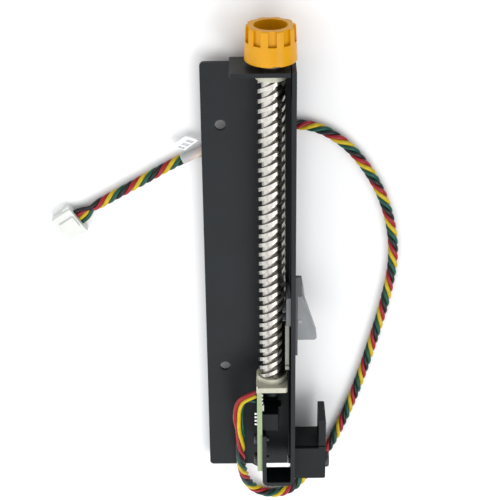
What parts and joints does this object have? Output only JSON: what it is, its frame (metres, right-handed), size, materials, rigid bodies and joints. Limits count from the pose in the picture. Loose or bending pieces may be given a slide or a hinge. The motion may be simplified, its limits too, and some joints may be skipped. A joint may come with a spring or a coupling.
{
  "type": "lead screw slide",
  "caption": "Lead-screw slide on a folded plate: a fluted drive cap turns a multi-start screw that walks a ramped carriage; a sensor board signals through a plugged lead",
  "frame": {"origin": "midway between the two mounting holes, on the rear face of the back plate", "axes": "+Y runs along the screw towards the drive cap, +Z leaves the front of the plate, +X points to the side wall that the carriage runs on"},
  "size_m": [0.1023, 0.1638, 0.0185],
  "materials": {
    "black_sheet": "matt black powder coat on folded steel",
    "screw_steel": "polished rolled thread",
    "amber_plastic": "satin moulded, amber yellow",
    "dark_steel": "black oxide",
    "black_plastic": "moulded, fine grain",
    "magnet_grey": "plain sintered",
    "nylon": "natural nylon, slightly milky",
    "board_green": "solder-masked laminate with a paler cut edge",
    "solder": "bright solder and tinned pins",
    "chip_beige": "ceramic chip",
    "slider_grey": "moulded, mid grey",
    "leaf_beige": "moulded, warm light grey",
    "shoe_grey": "moulded, dark grey",
    "flag_grey": "moulded, light grey",
    "wire_black": "PVC insulation, black",
    "wire_red": "PVC insulation, red",
    "wire_green": "PVC insulation, green",
    "wire_yellow": "PVC insulation, yellow",
    "plug_white": "moulded white nylon",
    "contact_tin": "tinned contact",
    "label_film": "white printed film with a clear tail"
  },
  "bodies": {
    "frame": {"board_screw_1": "dark_steel", "board_screw_2": "dark_steel", "bracket": "black_sheet", "bracket_screw": "dark_steel", "cable_label": "label_film", "chip_1": "chip_beige", "chip_2": "chip_beige", "circuit_board": "board_green", "lower_bearing": "nylon", "plug_contact_1": "contact_tin", "plug_contact_2": "contact_tin", "plug_contact_3": "contact_tin", "plug_contact_4": "contact_tin", "plug_housing": "plug_white", "sensor_housing": "black_plastic", "sensor_pin_1": "solder", "sensor_pin_2": "solder", "sensor_pin_3": "solder", "sensor_pin_4": "solder", "side_bracket": "black_plastic", "signal_lead_1": "wire_black", "signal_lead_2": "wire_red", "signal_lead_3": "wire_green", "signal_lead_4": "wire_yellow", "signal_lead_5": "wire_black", "upper_bushing": "nylon", "wire_joint_1": "solder", "wire_joint_2": "solder", "wire_joint_3": "solder", "wire_joint_4": "solder"},
    "screw": {"lead_screw": "screw_steel", "drive_cap": "amber_plastic", "cap_screw": "dark_steel", "journal_clip": "dark_steel", "encoder_rotor": "black_plastic", "encoder_magnet": "magnet_grey"},
    "carriage": {"follower_shoe": "slider_grey", "follower_leaf": "leaf_beige", "outer_shoe": "shoe_grey", "push_flag": "flag_grey", "flag_pin": "flag_grey"}
  },
  "joints": [
    {"name": "screw_spin", "type": "hinge", "parent": "frame", "child": "screw", "pos_m": [0.0142, 0, 0.008], "axis": [0, -1, 0], "range_deg": [-135, 1800]},
    {"name": "carriage_slide", "type": "slide", "parent": "frame", "child": "carriage", "axis": [0, 1, 0], "range_m": [-0.00443, 0.059]}
  ],
  "couplings": [
    {"joint": "carriage_slide", "follows": "screw_spin", "m_per_rad": 0.001878}
  ]
}
